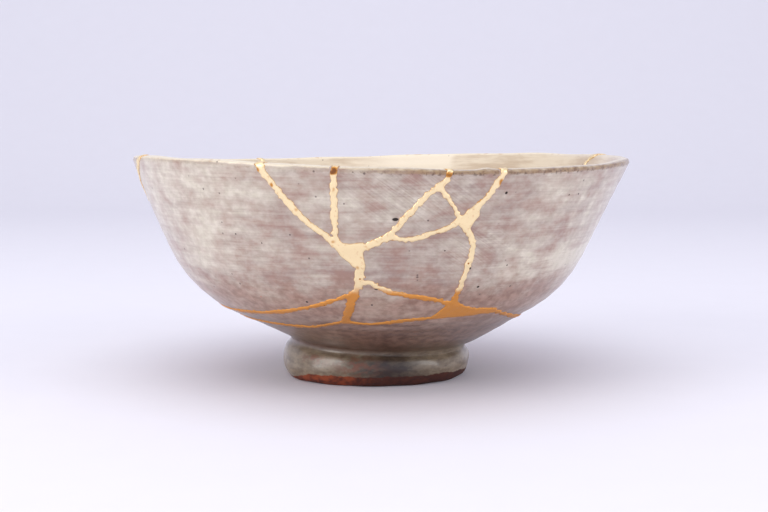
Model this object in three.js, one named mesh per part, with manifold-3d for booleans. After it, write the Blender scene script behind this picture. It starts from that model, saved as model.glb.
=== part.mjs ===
// A mended tea bowl: thrown stoneware with a brushed white slip, broken into twelve sherds that
// are joined again with lacquer and gold. Each sherd is a solid of its own, and the seams are one
// network that fills the gaps between them through the whole wall.
// Millimetres, +Z up. The origin is on the table under the middle of the rim. Azimuth is in
// degrees from the front (-Y) towards +X, and height is measured before the hand-made unevenness.
import * as THREE from 'three';
import { mergeVertices } from 'three/addons/utils/BufferGeometryUtils.js';
import Module from 'manifold-3d';

const wasm = await Module();
wasm.setup();

// ---------- driving dimensions ----------
const rimRadius = 75;
const bowlHeight = 65.9;
const lipThickness = 4;
const lipDrop = 1.2;             // from the top of the rim to where the lip's rounding starts
const floorHeight = 14;          // inside, at the middle
const footRadius = 27.2;         // above its bevel, and again at the neck
const footBulge = 3;             // how far the corner of the foot's round side stands out
const footHeight = 8.8;
const footBevel = 0.8;
const footFlatOuter = 26.2;      // the ring that stands on the table
const footFlatInner = 20.6;
const recessRadius = 17.5;       // the hollow turned out under the foot
const recessHeight = 5.4;
const recessCrown = 0.6;         // its ceiling hangs this much lower in the middle

// The wall as radius and height. Above the foot the neck stands upright, the underside runs
// straight to its end, and two curves, each pulled by a corner, carry the outside round the bend
// and up to the lip.
const neckTop = [27.1, 10.2];
const undersideStart = [28.3, 11.1];
const undersideEnd = [48, 21.8];
const bendCorner = [58.1, 28];
const bendEnd = [63.6, 39.5];
const wallCorner = [69.6, 52.1];
// The inside follows it, 5 mm in at the wall and 6 to 8 mm at the floor.
const innerWallCorner = [65.4, 53.5];
const innerBendEnd = [59, 41.5];
const innerBendCorner = [54, 32.1];
const floorEdge = [45, 26.9];
const floorCornerRadius = 25;

// Hand-made unevenness.
const footLobe = 1.6;            // the foot's edge stands out at the front left, at the bottom
const footLobeAzimuth = -55;
const footLobeSpread = 22;       // degrees
const footLobeStart = 2;         // height where it begins to die away
const footOffset = 1.4;          // the foot was trimmed this far to the left of the rim's middle
const footBlend = 3.7;           // height over which the wall comes back above the foot
const bellyOffset = 1.07;        // the wall leans to the left about half way up
const bellyStart = 14.5;
const neckTilt = 1;              // the neck runs higher on the left than on the right
const neckTiltFrom = 3;
const neckTiltTo = 22.5;
const rimSaddle = 0.65;          // the rim is low at the front and back, high at the sides
const rimDiagonal = 1.06;        // and high at the front left and back right
const rimThirds = 0.24;
const rimWaveFrom = 20.5;         // height where the rim's rise and fall begins

// Seams and mesh.
const seamGap = 0.3;             // clearance between a seam and each sherd
const seamRise = 0.3;            // how far the gold stands proud of the glaze
const slabOutside = 3;           // how far a seam's slab reaches past the outside of the wall
const slabInside = 12;           // and inwards, past the inside of the thickest wall
const pastRim = 5;               // and up, past the lip
const aroundSegments = 44;
const curveSteps = 3;            // straight pieces in each curve of the outline
const seamStep = 9;              // between two sections of a seam
const weld = 0.02;               // the grid that every corner lies on

const degrees = Math.PI / 180;

// ---------- the bowl's outline ----------
// The hollow under the foot, from the axis, and the foot up to its neck.
function footOutline() {
  const path = new THREE.Path();
  path.moveTo(0, recessHeight - recessCrown);
  path.lineTo(recessRadius, recessHeight);
  path.lineTo(footFlatInner - footBevel, footBevel);
  path.lineTo(footFlatInner, 0);
  path.lineTo(footFlatOuter, 0);
  path.lineTo(footRadius, footBevel);
  path.quadraticCurveTo(footRadius + footBulge, footHeight / 2, footRadius, footHeight);
  return path.getPoints(curveSteps);
}

function outsideOutline() {
  const path = new THREE.Path();
  path.moveTo(footRadius, footHeight);
  path.lineTo(...neckTop);
  path.lineTo(...undersideStart);
  path.lineTo(...undersideEnd);
  path.quadraticCurveTo(...bendCorner, ...bendEnd);
  path.quadraticCurveTo(...wallCorner, rimRadius - 0.1, bowlHeight - lipDrop);
  return path.getPoints(curveSteps);
}

// Over the lip and down the inside to the axis.
function insideOutline() {
  const lipInner = rimRadius - lipThickness;
  const path = new THREE.Path();
  path.moveTo(rimRadius - 0.7, bowlHeight - lipDrop / 4);
  path.lineTo(rimRadius - lipThickness / 2, bowlHeight);
  path.lineTo(lipInner + 0.6, bowlHeight - lipDrop / 3);
  path.lineTo(lipInner, bowlHeight - lipDrop);
  path.quadraticCurveTo(...innerWallCorner, ...innerBendEnd);
  path.quadraticCurveTo(...innerBendCorner, ...floorEdge);
  path.quadraticCurveTo(floorCornerRadius, floorHeight, 0, floorHeight);
  return path.getPoints(curveSteps);
}

// The closed half section, moved outwards by a skin along the normal of each of its points.
function bowlOutline(skin) {
  const points = [...footOutline(), ...outsideOutline().slice(1), ...insideOutline()];
  return points.map((point, i) => {
    const before = points[Math.max(i - 1, 0)];
    const after = points[Math.min(i + 1, points.length - 1)];
    const along = after.clone().sub(before).normalize();
    const radius = point.x === 0 ? 0 : point.x + along.y * skin;
    return new THREE.Vector2(radius, point.y - along.x * skin);
  });
}

// Radius of the outside at a height above the neck, carried on in a straight line over the rim.
const outside = outsideOutline();
function outerRadius(height) {
  const above = outside.findIndex((p) => p.y >= height);
  const i = above < 0 ? outside.length - 1 : Math.max(above, 1);
  const low = outside[i - 1];
  const high = outside[i];
  return low.x + ((height - low.y) * (high.x - low.x)) / (high.y - low.y);
}

// ---------- the hand-made unevenness ----------
const smooth = THREE.MathUtils.smoothstep;

function rimWave(azimuth) {
  const saddle = rimSaddle * Math.cos(2 * azimuth);
  const diagonal = rimDiagonal * Math.sin(2 * azimuth);
  return -saddle - diagonal - rimThirds * Math.cos(3 * azimuth);
}

// How far the foot's outer edge stands out of the round.
function footLobeReach(radius, height, azimuth) {
  const around = Math.exp(-(((azimuth / degrees - footLobeAzimuth) / footLobeSpread) ** 2));
  const outwards = smooth(radius, footFlatInner, footFlatOuter);
  return footLobe * around * outwards * (1 - smooth(height, footLobeStart, footHeight));
}

// A point of the true round bowl, moved to where it is on the uneven one.
function place(roundRadius, height, azimuth) {
  const radius = roundRadius + footLobeReach(roundRadius, height, azimuth);
  const foot = footOffset * (1 - smooth(height, footHeight, footHeight + footBlend));
  const up = THREE.MathUtils.clamp((height - bellyStart) / (bowlHeight - bellyStart), 0, 1);
  const belly = bellyOffset * Math.sin(Math.PI * up);
  const neck = smooth(height, neckTiltFrom, footHeight) - smooth(height, footHeight, neckTiltTo);
  const wave = rimWave(azimuth) * smooth(height, rimWaveFrom, bowlHeight);
  const tilt = neckTilt * Math.sin(azimuth) * neck;
  const x = radius * Math.sin(azimuth) - foot - belly;
  return new THREE.Vector3(x, -radius * Math.cos(azimuth), height + wave - tilt);
}

function surfacePoint(azimuth, height) {
  return place(outerRadius(height), height, azimuth * degrees);
}

function surfaceNormal(azimuth, height) {
  const across = surfacePoint(azimuth + 1, height).sub(surfacePoint(azimuth - 1, height));
  const up = surfacePoint(azimuth, height + 1).sub(surfacePoint(azimuth, height - 1));
  return across.cross(up).normalize();
}

// ---------- solids ----------
function toSolid(geometry) {
  geometry.deleteAttribute('normal');
  geometry.deleteAttribute('uv');
  const merged = mergeVertices(geometry, weld / 100);
  const mesh = new wasm.Mesh({
    numProp: 3,
    vertProperties: new Float32Array(merged.attributes.position.array),
    triVerts: new Uint32Array(merged.index.array),
  });
  return new wasm.Manifold(mesh);
}

function indexedSolid(corners, index) {
  const geometry = new THREE.BufferGeometry().setFromPoints(corners);
  geometry.setIndex(index);
  return toSolid(geometry);
}

// The solid's surface on a fine grid. Cuts leave edges far shorter than the grid, which close up
// here, and a face that folds flat on its neighbour goes with it.
function toGeometry(solid) {
  const mesh = solid.getMesh();
  const onGrid = mesh.vertProperties.map((value) => Math.round(value / weld) * weld);
  const geometry = new THREE.BufferGeometry();
  geometry.setAttribute('position', new THREE.BufferAttribute(onGrid, 3));
  geometry.setIndex(new THREE.BufferAttribute(mesh.triVerts, 1));
  const merged = mergeVertices(geometry, weld / 10);
  const faces = new Map();
  for (let i = 0; i < merged.index.count; i += 3) {
    const corners = [0, 1, 2].map((k) => merged.index.getX(i + k));
    const first = corners.indexOf(Math.min(...corners));
    const [a, b, c] = [0, 1, 2].map((k) => corners[(first + k) % 3]);
    const closedUp = new Set(corners).size < 3;
    if (!closedUp && !faces.delete(`${a} ${c} ${b}`)) faces.set(`${a} ${b} ${c}`, [a, b, c]);
  }
  merged.setIndex([...faces.values()].flat());
  return merged;
}

function bowlSolid(skin) {
  const geometry = new THREE.LatheGeometry(bowlOutline(skin), aroundSegments);
  geometry.rotateX(Math.PI / 2);
  const position = geometry.attributes.position;
  for (let i = 0; i < position.count; i += 1) {
    const x = position.getX(i);
    const y = position.getY(i);
    const moved = place(Math.hypot(x, y), position.getZ(i), Math.atan2(x, -y));
    position.setXYZ(i, moved.x, moved.y, moved.z);
  }
  return toSolid(geometry);
}

// ---------- the seams ----------
// Where seams meet or reach the rim: azimuth and height.
const knots = {
  rimLeft: [-25, bowlHeight],
  rimSecond: [-9, bowlHeight],
  rimThird: [13.6, bowlHeight],
  rimFourth: [25.3, bowlHeight],
  rimSide: [-66, bowlHeight],
  rimBack: [-144, bowlHeight],
  rimRight: [105.2, bowlHeight],
  star: [-9.3, 45.5],
  heart: [-5, 43.5],
  fork: [2.5, 47.7],
  peak: [11.9, 61.3],
  knee: [18, 52.2],
  waist: [-4.8, 33.5],
  hip: [-6.2, 31.2],
  corner: [21.2, 27.7],
  spur: [36, 24.8],
  tail: [-10.8, 22.1],
  sideFoot: [-105, 23.1],
  backLeft: [-126, 20],
  backFoot: [-161, 18.7],
  rightFoot: [125, 18.1],
};

// Each seam runs through knots and a few points of its own, as a smooth curve. The last one ends
// at rightFoot, reached the other way round.
const seams = [
  { width: 2.1, route: ['rimLeft', [-21.3, 59.1], [-16, 51.7], 'star'] },
  { width: 1.9, route: ['rimSecond', [-9.2, 56.5], 'star'] },
  { width: 2.2, route: ['star', [-7.2, 44.1], 'heart'] },
  { width: 2.2, route: ['heart', [-1.2, 45.5], 'fork'] },
  { width: 1.9, route: ['fork', [6.4, 54], [10.2, 59.7], 'peak'] },
  { width: 2, route: ['peak', [13.2, 63.3], 'rimThird'] },
  { width: 1.8, route: ['fork', [7.5, 47], [14.3, 49.8], 'knee'] },
  { width: 1.4, route: ['peak', [15, 57.1], 'knee'] },
  { width: 2, route: ['knee', [22.7, 58.5], 'rimFourth'] },
  { width: 1.7, route: ['knee', [22.3, 45.5], [22.2, 38], 'corner'] },
  { width: 2.5, route: ['heart', [-4.1, 38.9], 'waist'] },
  { width: 1.7, route: ['waist', [-2, 34.7], [3, 32], [12, 30], 'corner'] },
  { width: 2.1, route: ['waist', 'hip'] },
  { width: 1.6, route: ['hip', [-13, 28.7], [-24, 25.7], [-44, 23.3], [-75, 22.5], 'sideFoot'] },
  { width: 2.2, route: ['hip', [-8.4, 26.3], 'tail'] },
  { width: 1.5, route: ['tail', [-25, 19.7], [-49, 19.2], [-90, 19.5], 'backLeft'] },
  { width: 1.7, route: ['tail', [-3, 21.4], [8, 22.6], [17, 23.4], [27, 24.1], 'spur'] },
  { width: 1.8, route: ['corner', [28, 25.5], 'spur'] },
  { width: 1.6, route: ['spur', [52, 21.5], [70, 19.5], [98, 18.5], 'rightFoot'] },
  { width: 1.9, route: ['rimSide', [-72.5, 62], [-80.5, 56.5], [-92, 42.5], 'sideFoot'] },
  { width: 1.5, route: ['sideFoot', [-116, 22.1], 'backLeft'] },
  { width: 1.9, route: ['rimBack', [-147, 52], [-153.5, 34.5], 'backFoot'] },
  { width: 1.9, route: ['rimRight', [110, 60.5], [114, 50], [119.5, 35.5], 'rightFoot'] },
  { width: 1.6, route: ['backLeft', [-143, 18.7], 'backFoot'] },
  { width: 1.6, route: ['backFoot', [-190, 19.7], [-215, 18.9], [-235, 18.1]] },
];

// Chips at three crossings that the gold fills as small patches, each listed clockwise as seen
// from outside.
const patches = [
  [[-10.6, 45.5], [-7.4, 46.5], [-2, 46.7], [-3, 42.5], [-2.8, 38.5], [-5.8, 39], [-8.6, 42.1]],
  [[17.2, 51.7], [19.4, 55.3], [21.4, 56.8], [22.3, 53.5], [20.6, 50.1]],
  [[20.4, 28.7], [28, 25.9], [39, 25.1], [37, 23.5], [24, 23.1], [16.4, 23.5]],
];

function routePoint(stop) {
  const [azimuth, height] = typeof stop === 'string' ? knots[stop] : stop;
  return new THREE.Vector2(azimuth, height);
}

function wallLength(curve) {
  const points = curve.getPoints(20).map((p) => surfacePoint(p.x, p.y));
  return points.slice(1).reduce((sum, p, i) => sum + p.distanceTo(points[i]), 0);
}

// A seam's slab: a rectangle swept along the route, standing square to the wall. Its ends reach
// past the knots, and past the rim where the seam runs out over the lip.
function seamSlab({ width, route }, spread) {
  const curve = new THREE.SplineCurve(route.map(routePoint));
  const stops = curve.getPoints(Math.max(2, Math.round(wallLength(curve) / seamStep)));
  const centres = stops.map((p) => surfacePoint(p.x, p.y));
  const last = centres.length - 1;
  const sections = centres.map((centre, i) => {
    const along = centres[Math.min(i + 1, last)].clone().sub(centres[Math.max(i - 1, 0)]);
    along.normalize();
    const normal = surfaceNormal(stops[i].x, stops[i].y);
    const side = normal.clone().cross(along).normalize();
    const reach = stops[i].y < bowlHeight ? width / 2 : pastRim;
    const push = Number(i === last) - Number(i === 0);
    const middle = centre.clone().addScaledVector(along, push * reach);
    const corner = (across, out) => middle.clone()
      .addScaledVector(side, across * (width / 2 + spread))
      .addScaledVector(normal, out);
    return [
      corner(1, slabOutside),
      corner(-1, slabOutside),
      corner(-1, -slabInside),
      corner(1, -slabInside),
    ];
  });
  return sweptSolid(sections);
}

// Four-cornered sections joined in a row and closed at both ends.
function sweptSolid(sections) {
  const index = [0, 2, 1, 0, 3, 2];
  for (let i = 0; i + 1 < sections.length; i += 1) {
    for (let k = 0; k < 4; k += 1) {
      const a = 4 * i + k;
      const b = 4 * i + ((k + 1) % 4);
      index.push(a, b, a + 4);
      index.push(b, b + 4, a + 4);
    }
  }
  const end = 4 * (sections.length - 1);
  index.push(end, end + 1, end + 2, end, end + 2, end + 3);
  return indexedSolid(sections.flat(), index);
}

// A patch's slab: its outline carried through the wall, along the normal at its middle.
function patchSlab(outline, spread) {
  const count = outline.length;
  const middle = outline.reduce((sum, p) => sum.add(new THREE.Vector2(...p)), new THREE.Vector2())
    .divideScalar(count);
  const centre = surfacePoint(middle.x, middle.y);
  const normal = surfaceNormal(middle.x, middle.y);
  const ring = (out) => outline.map(([azimuth, height]) => {
    const point = surfacePoint(azimuth, height);
    const away = point.clone().sub(centre).normalize();
    return point.addScaledVector(away, spread).addScaledVector(normal, out);
  });
  const outerMiddle = centre.clone().addScaledVector(normal, slabOutside);
  const innerMiddle = centre.clone().addScaledVector(normal, -slabInside);
  const corners = [...ring(slabOutside), ...ring(-slabInside), outerMiddle, innerMiddle];
  const index = [];
  for (let i = 0; i < count; i += 1) {
    const next = (i + 1) % count;
    index.push(next, i, 2 * count);
    index.push(count + i, count + next, 2 * count + 1);
    index.push(count + i, i, next);
    index.push(count + i, next, count + next);
  }
  return indexedSolid(corners, index);
}

function seamNetwork(spread) {
  const slabs = seams.map((seam) => seamSlab(seam, spread));
  const chips = patches.map((outline) => patchSlab(outline, spread));
  return [...slabs, ...chips].reduce((sum, solid) => sum.add(solid));
}

// ---------- the pieces ----------
const glazedStoneware = new THREE.MeshStandardMaterial({
  name: 'glazed stoneware', color: 0xc2b6ae, roughness: 0.35, metalness: 0,
});
const goldDust = new THREE.MeshStandardMaterial({
  name: 'burnished gold dust', color: 0xe2b066, roughness: 0.3, metalness: 1,
});

// A point inside each sherd: azimuth, height, and depth from the outside.
const sherds = {
  base_and_foot_sherd: [0, 12.5, 6],
  left_front_sherd: [-38, 45.5, 2.5],
  left_rim_sherd: [-15, 59.5, 2.5],
  middle_rim_sherd: [0, 57.5, 2.5],
  small_triangle_sherd: [11.3, 53, 2.5],
  right_rim_sherd: [18.5, 61.5, 2.5],
  centre_sherd: [10, 38.5, 2.5],
  right_side_sherd: [65, 42.5, 2.5],
  lower_front_sherd: [3, 26.5, 2.5],
  lower_left_sherd: [-40, 21.3, 2.5],
  left_back_sherd: [-115, 45.5, 2.5],
  back_sherd: [165, 42.5, 2.5],
};
const probeRadius = 0.5;

const bowl = new THREE.Group();

function addPiece(name, solid, material) {
  const mesh = new THREE.Mesh(toGeometry(solid), material);
  mesh.name = name;
  bowl.add(mesh);
}

const broken = bowlSolid(0).subtract(seamNetwork(seamGap)).decompose();
for (const [name, [azimuth, height, depth]] of Object.entries(sherds)) {
  const inside = surfacePoint(azimuth, height)
    .addScaledVector(surfaceNormal(azimuth, height), -depth);
  const probe = toSolid(new THREE.OctahedronGeometry(probeRadius).translate(...inside));
  const sherd = broken.find((solid) => !solid.intersect(probe).isEmpty());
  addPiece(name, sherd, glazedStoneware);
}
addPiece('gold_seams', seamNetwork(0).intersect(bowlSolid(seamRise)), goldDust);

export default bowl;
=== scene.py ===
import bpy
import numpy as np
from math import pi, radians
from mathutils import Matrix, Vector
from mathutils.bvhtree import BVHTree


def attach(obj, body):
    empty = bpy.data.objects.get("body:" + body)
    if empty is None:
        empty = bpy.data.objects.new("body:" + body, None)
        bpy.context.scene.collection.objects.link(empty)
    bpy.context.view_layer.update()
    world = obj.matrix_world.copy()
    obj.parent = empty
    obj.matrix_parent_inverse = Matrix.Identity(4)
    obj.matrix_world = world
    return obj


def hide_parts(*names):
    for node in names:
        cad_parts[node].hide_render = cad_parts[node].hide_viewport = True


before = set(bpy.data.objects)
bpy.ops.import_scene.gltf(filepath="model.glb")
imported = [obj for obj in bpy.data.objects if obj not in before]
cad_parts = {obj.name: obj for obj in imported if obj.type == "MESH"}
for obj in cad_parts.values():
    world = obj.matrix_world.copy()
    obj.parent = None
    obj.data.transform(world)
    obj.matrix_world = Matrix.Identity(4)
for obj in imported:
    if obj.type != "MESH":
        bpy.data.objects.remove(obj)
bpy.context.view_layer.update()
mm = 0.001

# ---------------------------------------------------------------------------------------------
# The camera stands 410 mm in front of the bowl's middle and just above the height of its rim,
# looking a little down, so that a thin slice of the inside shows past the near lip.
bpy.ops.object.camera_add(location=(0.8 * mm, -410 * mm, 74 * mm), rotation=(radians(84.68), 0, 0))
camera = bpy.context.object
camera.name = "camera"
camera.data.sensor_width = 36
camera.data.lens = 62.5
camera.data.clip_start = 0.01
bpy.context.scene.camera = camera

# ---------------------------------------------------------------------------------------------
# The thrown form. A stoneware bowl thrown on the wheel, turned over, and its foot ring trimmed by
# hand a little off centre. The section is drawn once and spun round; then the wall gets the lean,
# the uneven rim and the finger rings that the wheel and the hand left. All in millimetres.
rim_radius = 75.0
bowl_height = 65.9
lip_thickness = 4.0
foot_height = 8.8
floor_height = 14.0
section_step = 0.9
spin_steps = 360
neck = (27.2, foot_height)
foot_shift, foot_blend = 1.4, 3.7  # how far left the foot was trimmed, and over what height
belly_shift, belly_start = 1.07, 14.5
foot_lobe, lobe_azimuth, lobe_spread, lobe_top = 1.6, -55, 22, 2  # the foot's edge, front left
foot_flat = (20.6, 26.2)  # the ring that stands on the table
neck_tilt_start, neck_tilt_end = 3, 22.5  # the neck runs higher on the left
rim_saddle, rim_diagonal, rim_thirds = 0.65, 1.06, 0.24  # the rim's rise and fall
rim_wave_start = 20.5
ring_pitch = 5.2  # from one finger ring to the next


def curve(points, corner, end, steps=30):
    """A quarter-like curve from the last point to end, pulled by corner."""
    t = np.linspace(0, 1, steps + 1)[1:, None]
    start = np.array(points[-1])
    bend = (1 - t) ** 2 * start + 2 * t * (1 - t) * np.array(corner) + t**2 * np.array(end)
    points.extend(map(tuple, bend))


def draw_section():
    """The half section from the axis under the foot, out, up over the lip and in to the floor."""
    points = [(0.0, 4.8)]
    curve(points, (9, 5.4), (16.8, 5.2))
    curve(points, (18.6, 4.9), (19.6, 2.0))
    curve(points, (20.0, 0.2), (21.2, 0.05))
    curve(points, (23.5, 0.0), (25.9, 0.05))
    curve(points, (27.0, 0.1), (27.5, 0.9))
    curve(points, (29.3, 3.6), (28.5, 7.0))
    curve(points, (28.2, 8.5), neck)
    curve(points, (26.8, 9.0), (26.9, 9.9))
    curve(points, (27.0, 10.7), (28.6, 11.3))
    curve(points, (38.0, 16.4), (48.0, 21.8))
    curve(points, (58.1, 28.0), (63.6, 39.5))
    curve(points, (69.6, 52.1), (rim_radius - 0.2, bowl_height - 1.3))
    curve(points, (rim_radius + 0.3, bowl_height - 0.1), (rim_radius - 1.8, bowl_height))
    curve(points, (rim_radius - 3.6, bowl_height), (rim_radius - lip_thickness, bowl_height - 1.6))
    curve(points, (65.4, 53.5), (59.0, 41.5))
    curve(points, (54.0, 32.1), (45.0, 26.9))
    curve(points, (25.0, floor_height), (0.0, floor_height))
    return np.array(points)


drawn = draw_section()
drawn_length = np.concatenate([[0], np.cumsum(np.hypot(*np.diff(drawn, axis=0).T))])
section = np.linspace(0, drawn_length[-1], round(drawn_length[-1] / section_step) + 1)


def section_point(along):
    """Radius and height of the section at a length along it."""
    radius = np.interp(along, drawn_length, drawn[:, 0])
    return radius, np.interp(along, drawn_length, drawn[:, 1])


def section_normal(along):
    """The section's outward direction at a length along it, across and up."""
    r0, z0 = section_point(along - 0.8)
    r1, z1 = section_point(along + 0.8)
    length = np.hypot(r1 - r0, z1 - z0)
    return (z1 - z0) / length, (r0 - r1) / length


foot_end = drawn_length[np.argmin(np.hypot(*(drawn - neck).T))]
lip_index = int(np.argmax(drawn[:, 1]))
lip_top = drawn_length[lip_index]


def outside_length(height):
    """Length along the section to a height on the outside of the wall."""
    wall = slice(int(np.argmax(drawn_length > foot_end)), lip_index)
    return np.interp(height, drawn[wall, 1], drawn_length[wall])


def smooth(value, low, high):
    """Nought below low, one above high, and a soft step between them."""
    t = np.clip((value - low) / (high - low), 0, 1)
    return t * t * (3 - 2 * t)


def leaning(height):
    """How far to the left the foot and the belly of the wall stand."""
    foot = foot_shift * (1 - smooth(height, foot_height, foot_height + foot_blend))
    up_wall = np.clip((height - belly_start) / (bowl_height - belly_start), 0, 1)
    return foot + belly_shift * np.sin(pi * up_wall)


def place(radius, height, azimuth):
    """A point of the true round bowl, moved to where it is on the uneven one."""
    lobe = foot_lobe * np.exp(-(((np.degrees(azimuth) - lobe_azimuth) / lobe_spread) ** 2))
    lobe = lobe * smooth(radius, *foot_flat)
    radius = radius + lobe * (1 - smooth(height, lobe_top, foot_height))
    neck_tilt = smooth(height, neck_tilt_start, foot_height)
    neck_tilt = neck_tilt - smooth(height, foot_height, neck_tilt_end)
    wave = -rim_saddle * np.cos(2 * azimuth) - rim_diagonal * np.sin(2 * azimuth)
    wave = wave - rim_thirds * np.cos(3 * azimuth)
    rise = wave * smooth(height, rim_wave_start, bowl_height) - np.sin(azimuth) * neck_tilt
    x = radius * np.sin(azimuth) - leaning(height)
    return np.stack([x, -radius * np.cos(azimuth), height + rise], axis=-1)


def relief(azimuth, along):
    """How far the clay stands out of the smooth form: finger rings, the hand's lumps, the lip's
    waver and its knock beside the fourth seam, and the tool's marks on the foot."""
    inside = smooth(along, lip_top - 2, lip_top + 6)
    turn = 2 * pi * along / ring_pitch - azimuth
    rings = np.sin(turn + 0.9 * np.sin(2 * azimuth + along / 11)) * (0.035 + 0.06 * inside)
    lumps = 0.10 * np.sin(3 * azimuth + along / 9 + 1.3) * np.sin(along / 14 + 2 * np.sin(azimuth))
    lumps += 0.06 * np.sin(7 * azimuth - along / 7) * np.sin(along / 6 + 0.7 + 3 * azimuth)
    clay = smooth(along, foot_end + 4, foot_end + 14)
    lip = np.exp(-(((along - lip_top) / 2.6) ** 2))
    knock = 0.45 * np.exp(-((np.degrees(azimuth) - 21.6) / 1.5) ** 2)
    waver = 0.10 * np.sin(11 * azimuth + 1) + 0.08 * np.sin(17 * azimuth) + knock
    foot = 1 - smooth(along, foot_end - 1, foot_end + 3)
    trimmed = smooth(along, 24, 30) * foot * (
        0.22 * np.sin(5 * azimuth + 0.6) * np.sin(along / 3)
        + 0.10 * np.sin(13 * azimuth + along / 2)
    )
    return (rings + lumps) * clay + lip * waver + trimmed


def on_bowl(azimuth, along, out=0.0):
    """A point of the finished surface, or out millimetres above it, in metres."""
    radius, height = section_point(along)
    across, up = section_normal(along)
    lift = relief(azimuth, along) + out
    return place(radius + across * lift, height + up * lift, azimuth) * mm


bpy.ops.object.select_all(action="DESELECT")
bpy.ops.mesh.primitive_plane_add(size=1)
bowl = bpy.context.object
bowl.name = "thrown_bowl"
radius, height = section_point(section)
bowl.data.clear_geometry()
corners = [(0.0, -r, z) for r, z in zip(radius, height)]
bowl.data.from_pydata(corners, [(i, i + 1) for i in range(len(corners) - 1)], [])
bowl.data.attributes.new("along", "FLOAT", "POINT").data.foreach_set("value", section)
lathe = bowl.modifiers.new("lathe", "SCREW")
lathe.axis = "Z"
lathe.angle = 2 * pi
lathe.steps = lathe.render_steps = spin_steps
lathe.use_merge_vertices = True
lathe.merge_threshold = 0.002
bpy.ops.object.modifier_apply(modifier=lathe.name)
bpy.ops.object.mode_set(mode="EDIT")
bpy.ops.mesh.select_all(action="SELECT")
bpy.ops.mesh.remove_doubles(threshold=0.002)
bpy.ops.mesh.normals_make_consistent(inside=False)
bpy.ops.object.mode_set(mode="OBJECT")


def corner_array(mesh):
    co = np.empty(3 * len(mesh.vertices))
    mesh.vertices.foreach_get("co", co)
    return co.reshape(-1, 3)


def read_attribute(mesh, name):
    values = np.empty(len(mesh.vertices))
    mesh.attributes[name].data.foreach_get("value", values)
    return values


round_bowl = corner_array(bowl.data)
along = read_attribute(bowl.data, "along")
azimuth = np.arctan2(round_bowl[:, 0], -round_bowl[:, 1])
bowl.data.vertices.foreach_set("co", on_bowl(azimuth, along).ravel())
bowl.data.update()

# ---------------------------------------------------------------------------------------------
# The breaks. Each seam is a crack right through the wall, given as azimuth in degrees from the
# front and height in millimetres, with the width of the gold over it. They part the bowl into
# twelve sherds.
knots = {
    "rim_left": (-25, bowl_height), "rim_second": (-9, bowl_height),
    "rim_third": (13.6, bowl_height), "rim_fourth": (25.3, bowl_height),
    "rim_side": (-66, bowl_height), "rim_back": (-144, bowl_height),
    "rim_right": (105.2, bowl_height),
    "star": (-9.3, 45.5), "heart": (-5, 43.5), "fork": (2.5, 47.7), "peak": (11.9, 61.3),
    "knee": (18, 52.2), "waist": (-4.8, 33.5), "hip": (-6.2, 31.2), "corner": (21.2, 27.7),
    "spur": (36, 24.8), "tail": (-10.8, 22.1), "side_foot": (-105, 23.1),
    "back_left": (-126, 20), "back_foot": (-161, 18.7), "right_foot": (125, 18.1),
}
seams = [
    (2.1, "rim_left", (-21.3, 59.1), (-16, 51.7), "star"),
    (1.9, "rim_second", (-9.2, 56.5), "star"),
    (2.2, "star", (-7.2, 44.1), "heart"),
    (2.2, "heart", (-1.2, 45.5), "fork"),
    (1.9, "fork", (6.4, 54), (10.2, 59.7), "peak"),
    (2.0, "peak", (13.2, 63.3), "rim_third"),
    (1.8, "fork", (7.5, 47), (14.3, 49.8), "knee"),
    (1.4, "peak", (15, 57.1), "knee"),
    (2.0, "knee", (22.7, 58.5), "rim_fourth"),
    (1.7, "knee", (22.3, 45.5), (22.2, 38), "corner"),
    (2.5, "heart", (-4.1, 38.9), "waist"),
    (1.7, "waist", (-2, 34.7), (3, 32), (12, 30), "corner"),
    (2.1, "waist", "hip"),
    (1.6, "hip", (-13, 28.7), (-24, 25.7), (-44, 23.3), (-75, 22.5), "side_foot"),
    (2.2, "hip", (-8.4, 26.3), "tail"),
    (1.5, "tail", (-25, 19.7), (-49, 19.2), (-90, 19.5), "back_left"),
    (1.7, "tail", (-3, 21.4), (8, 22.6), (17, 23.4), (27, 24.1), "spur"),
    (1.8, "corner", (28, 25.5), "spur"),
    (1.6, "spur", (52, 21.5), (70, 19.5), (98, 18.5), "right_foot"),
    (1.9, "rim_side", (-72.5, 62), (-80.5, 56.5), (-92, 42.5), "side_foot"),
    (1.5, "side_foot", (-116, 22.1), "back_left"),
    (1.9, "rim_back", (-147, 52), (-153.5, 34.5), "back_foot"),
    (1.9, "rim_right", (110, 60.5), (114, 50), (119.5, 35.5), "right_foot"),
    (1.6, "back_left", (-143, 18.7), "back_foot"),
    (1.6, "back_foot", (-190, 19.7), (-215, 18.9), (-235, 18.1)),
]
sherds = {
    "base_and_foot_sherd": (0, 12), "left_front_sherd": (-38, 45), "left_rim_sherd": (-15, 59),
    "middle_rim_sherd": (0, 57), "small_triangle_sherd": (11.3, 52.5),
    "right_rim_sherd": (18.5, 61), "centre_sherd": (10, 38), "right_side_sherd": (65, 42),
    "lower_front_sherd": (3, 26), "lower_left_sherd": (-40, 20.8),
    "left_back_sherd": (-115, 45), "back_sherd": (165, 42),
}


def smooth_route(stops, steps):
    """A smooth curve through a seam's stops, as azimuth and height."""
    points = np.array([knots[s] if isinstance(s, str) else s for s in stops], float)
    points = np.vstack([2 * points[0] - points[1], points, 2 * points[-1] - points[-2]])
    spans = []
    for p0, p1, p2, p3 in zip(points, points[1:], points[2:], points[3:]):
        t = np.linspace(0, 1, steps, endpoint=False)[:, None]
        spans.append(0.5 * (2 * p1 + (p2 - p0) * t + (2 * p0 - 5 * p1 + 4 * p2 - p3) * t**2
                            + (3 * p1 - p0 - 3 * p2 + p3) * t**3))
    return np.vstack([*spans, points[-2:-1]])


def unit(vectors):
    return vectors / np.linalg.norm(vectors, axis=-1, keepdims=True)


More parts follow.
